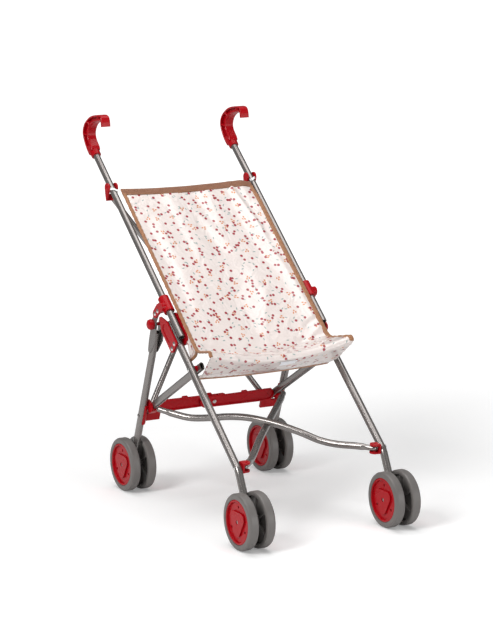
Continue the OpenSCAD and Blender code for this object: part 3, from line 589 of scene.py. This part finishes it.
# circles square to a bent line: centre + radius * (cos a * across + sin a * lift), narrowed towards both ends
def buildLowerBrace(side, node, name, bends):
    start = np.array(lowerBrace["front"]) * (side, 1, 1)
    end = np.array(lowerBrace["rear"]) * (-side, 1, 1)
    bent = smoothLine(np.array(bends, float), lowerBrace["rows"])
    along = end - start
    up = unit(np.array([0, -along[2], along[1]]))
    centre = start + bent[:, :1] * along + bent[:, 1:] / 1000 * up
    heading = unit(np.gradient(centre, axis=0))
    across = unit(np.cross(heading, up))
    lift = np.cross(across, heading)
    tip, (narrow, full) = lowerBrace["tip"], lowerBrace["taper"]
    fromEnd = 0.5 - np.abs(bent[:, 0] - 0.5)
    radius = tip + (lowerBrace["radius"] - tip) * smoothStep((fromEnd - narrow) / (full - narrow))
    angle = np.linspace(0, 2 * np.pi, lowerBrace["sides"], endpoint=False)[None, :, None]
    circle = np.cos(angle) * across[:, None] + np.sin(angle) * lift[:, None]
    rings = centre[:, None] + radius[:, None, None] * circle
    front, rear = domeRings(rings[0], -heading[0], radius[0]), domeRings(rings[-1], heading[-1], radius[-1])
    piece = rigidObject(name, ringSolid(np.array(front[::-1] + list(rings) + rear)), "tube", angle=60)
    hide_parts(node)
    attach(piece, node)


buildLowerBrace(-1, "left_lower_brace", "leftLowerBrace", lowerBrace["leftBends"])
buildLowerBrace(1, "right_lower_brace", "rightLowerBrace", lowerBrace["rightBends"])
print("lower braces built")

# strap loops: a narrow tape from the cap's outer side over the handle tube to the sling's top corner; turn in
# degrees round the tube, run along it from the grip's foot; straight is the free part's start, end and rows;
# edge is how far in the flat faces and how far out the rounded edges reach
strap = {"radius": 0.0062, "width": 0.0036, "thick": 0.0008, "turn": (-35, 118), "run": (-0.0655, -0.0757),
         "turnRows": 30, "corner": (0.1093, 0.1668, 0.4460), "straight": (0.15, 1, 8), "edge": (0.85, 0.5)}


# an arc round the tube and a straight run to the corner, with a flat section carried along it
def buildStrap(side, node, name):
    front = np.array([0, -gripAxis[2], gripAxis[1]])
    foot = gripPlace(side, 0, 0, 0)
    turn = np.radians(np.linspace(*strap["turn"], strap["turnRows"]))[:, None]
    arc = foot + gripAxis * np.linspace(*strap["run"], strap["turnRows"])[:, None]
    arc = arc + strap["radius"] * (np.cos(turn) * (side, 0, 0) + np.sin(turn) * front)
    corner = np.array(strap["corner"]) * (side, 1, 1)
    curve = np.vstack([arc, arc[-1] + (corner - arc[-1]) * np.linspace(*strap["straight"])[:, None]])
    heading = unit(np.gradient(curve, axis=0))
    out = unit(np.cross(heading, gripAxis))
    wide = np.cross(out, heading)
    w, h = strap["width"] / 2, strap["thick"] / 2
    inner, low = w * strap["edge"][0], h * strap["edge"][1]
    section = [(w, -low), (w, low), (inner, h), (-inner, h), (-w, low), (-w, -low), (-inner, -h), (inner, -h)]
    rings = np.stack([curve + wide * a + out * b for a, b in section], 1)
    piece = rigidObject(name, ringSolid(rings), "webbing", angle=50)
    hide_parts(node)
    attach(piece, node.replace("strap_loop", "side"))


buildStrap(-1, "left_strap_loop", "leftStrapLoop")
buildStrap(1, "right_strap_loop", "rightStrapLoop")
print("strap loops built")

# seat sling: one hanging sheet from the top edge over the crease and the lip to the hem
sling = {
    # y, z, bend radius, half width, share of the sag: top edge, crease, lip, under the lip, hem
    "corners": [(0.1677, 0.4468, 0, 0.110, 0.25), (-0.0707, 0.2445, 0.020, 0.1105, 0.75),
                (-0.1387, 0.2595, 0.006, 0.118, 1.25), (-0.0907, 0.2165, 0.030, 0.111, 0.35),
                (-0.0617, 0.2035, 0, 0.110, 0.2)],
    "sag": 0.014, "thick": 0.0012, "rows": 330, "cols": 144, "bendRows": 24,
    # right top corner pulled down: depth, from which u, fades over s, share of it that goes back
    "pull": (0.0045, 0.82, 0.05, 0.4),
    # slow swing of the top edge: height, fades over s, waves across and where they start
    "swing": (0.0014, 0.12, 3.1, 0.4),
    # side edges: from which u, share of the folds lost there; puckers: height, fade in over s, their pace
    # down the edge, how much it varies and the pace of that
    "edge": 0.9, "edgeCalm": 0.65, "pucker": (0.00035, 0.01, 620, 2.3, 83),
    # ridges wander off a straight line: mm, waves along one and shift from one to the next; half width in mm
    # that their u is a share of; fades at the ends
    "wander": (2.2, 5, 11), "ridgeHalf": 111, "ridgeStart": (0.22, 0.15), "ridgeEnd": 0.3,
    "stepU": 0.004, "stepS": 0.0006,
    # each ridge: u and s (mm down the cloth) at both ends, width and height in mm
    "ridges": [
        (-0.30, -5, -0.22, 210, 17, 1.5), (0.02, 0, 0.06, 150, 15, -1.0),
        (0.30, -5, 0.20, 120, 14, 0.9), (0.66, -5, 0.80, 130, 4, 2.4), (0.80, 130, 0.93, 300, 6, 1.8),
        (0.55, 10, 0.62, 190, 16, -1.2), (-0.62, 30, -0.52, 260, 20, 1.1),
        (-0.86, 60, -0.78, 290, 11, -1.2), (0.35, 150, 0.42, 300, 22, 1.2),
        (-0.05, 190, 0.0, 300, 24, -1.4), (-0.12, 20, 0.30, 140, 9, 1.3),
        (0.45, 200, 0.10, 290, 9, 1.2), (-0.95, 318, -0.45, 346, 3.2, 1.6),
        (-0.90, 300, -0.35, 322, 5, -1.6), (0.95, 310, 0.50, 340, 4, 1.8),
        (0.88, 296, 0.30, 318, 6, -1.6), (-0.98, 338, -0.60, 372, 3.0, 1.3),
        (0.98, 330, 0.55, 366, 3.5, 1.6), (0.25, 322, 0.75, 352, 5, 1.2),
        (-0.3, 330, 0.1, 342, 6, 1.2), (0.95, 285, 0.62, 316, 5, 2.2), (0.97, 270, 0.70, 288, 4, -1.8),
    ],
}


# side view of the cloth: straight runs joined by arcs; gives the line, the run along it, that at each corner
def slingPath():
    corners = [np.array(c[:2]) for c in sling["corners"]]
    line, middles = [corners[0]], []
    for i in range(1, len(corners) - 1):
        here = corners[i]
        u, w = unit(corners[i - 1] - here), unit(corners[i + 1] - here)
        half = math.acos(float(u @ w)) / 2
        r = sling["corners"][i][2]
        start, mid = here + u * r / math.tan(half), here + unit(u + w) * r / math.sin(half)
        side = 1 if u[0] * w[1] - u[1] * w[0] > 0 else -1
        angles = -side * (math.pi - 2 * half) * np.linspace(0, 1, sling["bendRows"])
        v = start - mid
        middles.append(len(line) + sling["bendRows"] // 2)
        line.extend(mid + np.stack([v[0] * np.cos(angles) - v[1] * np.sin(angles),
                                    v[0] * np.sin(angles) + v[1] * np.cos(angles)], -1))
    line = np.array(line + [corners[-1]])
    run = runAlong(line)
    return line, run, np.array([0.0] + [run[k] for k in middles] + [run[-1]])


line, run, marks = slingPath()
total = float(run[-1])


# ridges along wandering lines: height * exp(-(distance / width)^2), faded at both ends
def ridgeHeight(u, s, halfWidth):
    height = np.zeros(np.broadcast(u, s).shape)
    x, y = u * halfWidth * 1000, s * 1000
    rise, early = sling["ridgeStart"]
    wander, waves, shift = sling["wander"]
    for u0, s0, u1, s1, wide, high in sling["ridges"]:
        a, b = np.array([u0 * sling["ridgeHalf"], s0]), np.array([u1 * sling["ridgeHalf"], s1])
        d = b - a
        t = ((x - a[0]) * d[0] + (y - a[1]) * d[1]) / (d @ d)
        off = ((x - a[0]) * d[1] - (y - a[1]) * d[0]) / math.sqrt(d @ d)
        off += wander * np.sin(waves * t + shift * u0)
        fade = smoothStep(t / rise + early) * smoothStep((1 - t) / sling["ridgeEnd"])
        height += high / 1000 * fade * np.exp(-(off / wide) ** 2)
    return height


# the hanging sheet without folds, u across from -1 to 1, s metres down from the top edge: the side view
# spread to both sides and let down by sag * (1 - u^2)
def slingBase(u, s):
    y, z = np.interp(s, run, line[:, 0]), np.interp(s, run, line[:, 1])
    halfWidth = np.interp(s, marks, [c[3] for c in sling["corners"]])
    fall = sling["sag"] * np.interp(s, marks, [c[4] for c in sling["corners"]]) * (1 - u * u)
    pull, pullFrom, pullRun, pullBack = sling["pull"]
    topDip = pull * smoothStep((u - pullFrom) / (1 - pullFrom)) * smoothStep(1 - s / pullRun)
    swing, swingRun, waves, first = sling["swing"]
    swing = swing * np.sin(waves * u + first) * smoothStep(1 - s / swingRun)
    return np.stack([u * halfWidth, y + swing + pullBack * topDip, z - fall - topDip], -1), halfWidth


# the sheet with folds, base + (ridges + puckers) * normal, and the unit normal out of the printed face
def slingPoint(u, s):
    base, halfWidth = slingBase(u, s)
    stepU, stepS = sling["stepU"], sling["stepS"]
    du = slingBase(u + stepU, s)[0] - slingBase(u - stepU, s)[0]
    ds = slingBase(u, np.minimum(s + stepS, total))[0] - slingBase(u, np.maximum(s - stepS, 0))[0]
    normal = unit(np.cross(ds, du))
    edge = smoothStep((np.abs(u) - sling["edge"]) / (1 - sling["edge"]))
    high, start, pace, vary, slowPace = sling["pucker"]
    pucker = high * edge * np.sin(s * pace + vary * np.sin(s * slowPace)) * smoothStep(s / start)
    lift = ridgeHeight(u, s, halfWidth) * (1 - sling["edgeCalm"] * edge) + pucker
    return base + normal * lift[..., None], normal


# two faces half the thickness either side of a grid of points, joined by a rim; the far one takes the lining
def thickSheet(name, centre, normal, uv, thick, material, lining):
    rows, cols = centre.shape[:2]
    faces, count = gridFaces(rows, cols), rows * cols
    number = np.arange(count).reshape(rows, cols)
    a = np.concatenate([number[0], number[1:, -1], number[-1, -2::-1], number[-2:0:-1, 0]])
    b = np.roll(a, -1)
    rim = np.stack([a, a + count, b + count, b], -1)
    points = np.vstack([(centre + side * normal * thick / 2).reshape(-1, 3) for side in (1, -1)])
    obj = clothObject(name, points, np.vstack([faces, faces[:, ::-1] + count, rim]), material,
                      np.vstack([uv.reshape(-1, 2)] * 2))
    obj.data.materials.append(lining)
    index = np.zeros(len(obj.data.polygons), np.int32)
    index[len(faces):2 * len(faces)] = 1
    obj.data.polygons.foreach_set("material_index", index)
    return obj


u, s = np.broadcast_arrays(np.linspace(-1, 1, sling["cols"])[None, :],
                           np.linspace(0, total, sling["rows"])[:, None])
centre = slingPoint(u, s)[0]
uv = np.stack([u * slingBase(u, s)[1], s], -1)
seat = thickSheet("sling", centre, gridNormal(centre), uv, sling["thick"], cloth["print"], cloth["lining"])
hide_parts("seat_sling")
print("sling built,", round(total * 1000, 1), "mm from the top edge to the hem")

# side wings: from the lower part of each side edge to a point beside the rear of the seat; uv is where their
# print starts and how far it runs
wing = {"from": 0.258, "apex": (0.1105, -0.0545, 0.2285), "bulge": 0.004, "bulgeRun": 0.03, "reach": 0.97,
        "rows": 34, "cols": 22, "uv": (0.35, 0.05), "thick": 0.0009}


# ruled between the edge and the apex: edge * (1 - t) + apex * t, bowed by bulge * sin(pi t)
def wingPoint(side, s, t):
    edge = slingPoint(np.full(s.shape, side * 1.0), s)[0]
    t = t[..., None]
    place = edge * (1 - t) + np.array(wing["apex"]) * (side, 1, 1) * t
    bulge = wing["bulge"] * smoothStep((s - wing["from"]) / wing["bulgeRun"])
    place[..., 0] -= side * bulge * np.sin(np.pi * t[..., 0])
    return place


wings = []
for side, name in ((-1, "leftWing"), (1, "rightWing")):
    s, t = np.broadcast_arrays(np.linspace(wing["from"], marks[1], wing["rows"])[:, None],
                               np.linspace(0.0, wing["reach"], wing["cols"])[None, :])
    centre = wingPoint(side, s, t)
    if side * gridNormal(centre)[..., 0].mean() < 0:  # the printed face looks outwards
        centre, s, t = centre[:, ::-1], s[:, ::-1], t[:, ::-1]
    uv = np.stack([wing["uv"][0] + t * wing["uv"][1], s], -1)
    wings.append(thickSheet(name, centre, gridNormal(centre), uv, wing["thick"], cloth["print"],
                            cloth["lining"]))
print("wings built")

# folded tape round an edge: cover over the cloth, lift off it, puff in the middle, all in metres; nose and
# inner edge are shares of the thickness; probe is a step into the cloth that tells inside from outside
tape = {"cover": 0.0068, "lift": 0.00055, "puff": 0.0005, "puffPower": 0.7, "points": 9, "nosePoints": 7,
        "nose": 0.9, "inner": 0.4, "topCover": 0.0112, "topLift": 0.0008, "leftCover": 0.0044,
        "rightCover": 0.0062, "wingCover": 0.0042, "wingLift": 0.0004, "wingFrom": 0.02, "pastLip": 0.003,
        "sideRows": 340, "acrossRows": 220, "wingRows": 40, "probe": 0.004}


# section of the tape: a out past the edge, b across the thickness, swelling by puff * sin(pi t)^power
def tapeProfile(cover, lift):
    half = sling["thick"] / 2
    t = np.linspace(0, 1, tape["points"])
    swell = tape["puff"] * np.sin(np.pi * t) ** tape["puffPower"]
    upper = np.stack([-cover + t * cover, half + lift + swell], -1)
    angle = np.linspace(np.pi / 2, -np.pi / 2, tape["nosePoints"])[1:-1]
    nose = np.stack([(half + lift) * tape["nose"] * np.cos(angle), (half + lift) * np.sin(angle)], -1)
    inner = half * tape["inner"]
    return np.vstack([upper, nose, upper[::-1] * [1, -1], [[-cover, -inner], [-cover, inner]]])


# the section carried along a line: point = place + a * out + b * normal
def tapeAlong(name, place, out, normal, material, cover, lift):
    profile = tapeProfile(cover, lift)
    rings = place[:, None] + profile[None, :, :1] * out[:, None] + profile[None, :, 1:] * normal[:, None]
    around, along = np.broadcast_arrays(runAlong(profile)[None, :], runAlong(place)[:, None])
    uv = np.stack([around, along], -1).reshape(-1, 2)
    return clothObject(name, *ringSolid(rings), material, np.vstack([uv, uv[:1], uv[-1:]]))


# a tape along an edge of the sling: side -1 or 1 for the side edges, 0 for the top edge and the hem
def slingTape(name, u, s, side, material, cover=tape["cover"], lift=tape["lift"]):
    place, normal = slingPoint(u, s)
    out = unit(np.cross(unit(np.gradient(place, axis=0)), normal))
    if side:
        sign = np.sign(out[:, :1] * side)
    else:
        inner = slingPoint(u, s + math.copysign(tape["probe"], total / 2 - s[0]))[0] - place
        sign = -np.sign(np.sum(out * inner, axis=1, keepdims=True))
    out = out * sign
    normal = unit(normal - np.sum(normal * out, 1, keepdims=True) * out)
    return tapeAlong(name, place, out, normal, material, cover, lift)


sideRun = np.linspace(0, marks[2] + tape["pastLip"], tape["sideRows"])
acrossRun = np.linspace(-1, 1, tape["acrossRows"])
tapes = [slingTape("leftBinding", 0 * sideRun - 1, sideRun, -1, cloth["binding"], tape["leftCover"]),
         slingTape("rightBinding", 0 * sideRun + 1, sideRun, 1, cloth["binding"], tape["rightCover"]),
         slingTape("topBinding", acrossRun, 0 * acrossRun, 0, cloth["topBinding"], tape["topCover"],
                   tape["topLift"]),
         slingTape("hemBinding", acrossRun, 0 * acrossRun + total, 0, cloth["binding"])]
for side, name in ((-1, "leftWingBinding"), (1, "rightWingBinding")):
    t = np.linspace(tape["wingFrom"], wing["reach"], tape["wingRows"])
    place = wingPoint(side, 0 * t + marks[1], t)
    inner = wingPoint(side, 0 * t + marks[1] - tape["probe"], t) - place
    along = unit(np.gradient(place, axis=0))
    out = -unit(inner - np.sum(inner * along, 1, keepdims=True) * along)
    tapes.append(tapeAlong(name, place, out, unit(np.cross(along, out)), cloth["binding"], tape["wingCover"],
                           tape["wingLift"]))
print("bindings built")

# plain white tab sewn under the lip, hanging over the flap; curl lifts its free end, wave ripples it
tab = {"u": (-0.02, 0.20), "s": 0.0052, "length": 0.0085, "off": 0.0016, "curl": 0.0022, "wave": 0.0006,
       "thick": 0.0005, "rows": 14, "cols": 24}
u, s = np.broadcast_arrays(np.linspace(*tab["u"], tab["cols"])[None, :],
                           marks[2] + np.linspace(tab["s"], tab["s"] + tab["length"], tab["rows"])[:, None])
centre, normal = slingPoint(u, s)
t = (s - s[:1]) / tab["length"]
centre = centre + normal * (tab["off"] + tab["curl"] * t * t + tab["wave"] * np.sin(9 * u + 3 * t))[..., None]
uv = np.stack([u * sling["corners"][0][3], s], -1)
label = thickSheet("careTab", centre, gridNormal(centre), uv, tab["thick"], cloth["label"], cloth["label"])

# all cloth rides the left side frame, each piece with a mesh of its own
softPieces = [seat, label] + wings + tapes
for piece in softPieces:
    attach(piece, "left_side")
    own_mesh(piece)
print("soft pieces carried")

# camera: yaw turns it from straight ahead, pitch tips it down, in degrees
view = {"lens": 183.4613, "sensor": 36, "place": (-1.7438, -3.1525, 0.9969), "yaw": -29.09, "pitch": 11.21}
camera = bpy.data.objects.new("camera", bpy.data.cameras.new("camera"))
scene.collection.objects.link(camera)
camera.data.sensor_fit = "HORIZONTAL"
camera.data.sensor_width = view["sensor"]
camera.data.lens = view["lens"]
camera.location = view["place"]
camera.rotation_euler = (Matrix.Rotation(math.radians(view["yaw"]), 3, "Z")
                         @ Matrix.Rotation(math.radians(90 - view["pitch"]), 3, "X")).to_euler()
scene.camera = camera

# studio: a key from the left, a wide soft light above, a low fill from the front; place, aim, size, watts
lamps = {"key": ((-1.9, -0.7, 1.7), (0, 0, 0.25), (0.8, 1.1), 36),
         "top": ((0.0, 0.1, 2.3), (0, 0, 0.2), (1.8, 1.8), 28),
         "fill": ((0.9, -2.4, 0.6), (0, 0, 0.22), (1.4, 1.0), 17)}
for name, (place, aim, size, power) in lamps.items():
    data = bpy.data.lights.new(name, "AREA")
    data.shape = "RECTANGLE"
    data.size, data.size_y = size
    data.energy = power
    lamp = bpy.data.objects.new(name, data)
    scene.collection.objects.link(lamp)
    lamp.location = place
    way = np.array(aim) - np.array(place)
    lamp.rotation_euler = (math.atan2(math.hypot(way[0], way[1]), -way[2]), 0, math.atan2(-way[0], way[1]))

# white floor and sky: both show brighter to the camera than they shine, the floor more so further out
stage = {"floor": 0.88, "roughness": 0.9, "specular": 0.1, "glowNear": 0.20, "glowFar": 0.95,
         "glowFrom": 0.45, "glowTo": 2.0, "skyShine": 0.2, "skySeen": 1.0, "drop": -0.0004, "reach": 12}
reach, drop = stage["reach"], stage["drop"]
floorMesh = bpy.data.meshes.new("floor")
corners = [(-reach, -reach, drop), (reach, -reach, drop), (reach, reach, drop), (-reach, reach, drop)]
floorMesh.from_pydata(corners, [], [(0, 1, 2, 3)])
floor = bpy.data.objects.new("floor", floorMesh)
scene.collection.objects.link(floor)
floorMaterial, tree, add, shader = newMaterial("floor")
shader.inputs["Base Color"].default_value = (stage["floor"],) * 3 + (1,)
shader.inputs["Roughness"].default_value = stage["roughness"]
shader.inputs["Specular IOR Level"].default_value = stage["specular"]
seen = add("ShaderNodeLightPath").outputs["Is Camera Ray"]
shader.inputs["Emission Color"].default_value = (1, 1, 1, 1)
away = vectorMaths(add, "LENGTH", add("ShaderNodeTexCoord").outputs["Object"])["Value"]
glow = add("ShaderNodeMapRange", {"Value": away, "From Min": stage["glowFrom"], "From Max": stage["glowTo"],
                                  "To Min": stage["glowNear"], "To Max": stage["glowFar"]}).outputs[0]
tree.links.new(maths(add, "MULTIPLY", seen, glow), shader.inputs["Emission Strength"])
floorMesh.materials.append(floorMaterial)
world = bpy.data.worlds.new("studio")
scene.world = world
world.use_nodes = True
sky = next(n for n in world.node_tree.nodes if n.type == "BACKGROUND")
addWorld = nodeAdder(world.node_tree)
seen = addWorld("ShaderNodeLightPath").outputs["Is Camera Ray"]
strength = addWorld("ShaderNodeMapRange",
                    {"Value": seen, "To Min": stage["skyShine"], "To Max": stage["skySeen"]})
sky.inputs["Color"].default_value = (1, 1, 1, 1)
world.node_tree.links.new(strength.outputs[0], sky.inputs["Strength"])
scene.view_settings.view_transform = "Standard"
print("stage ready")
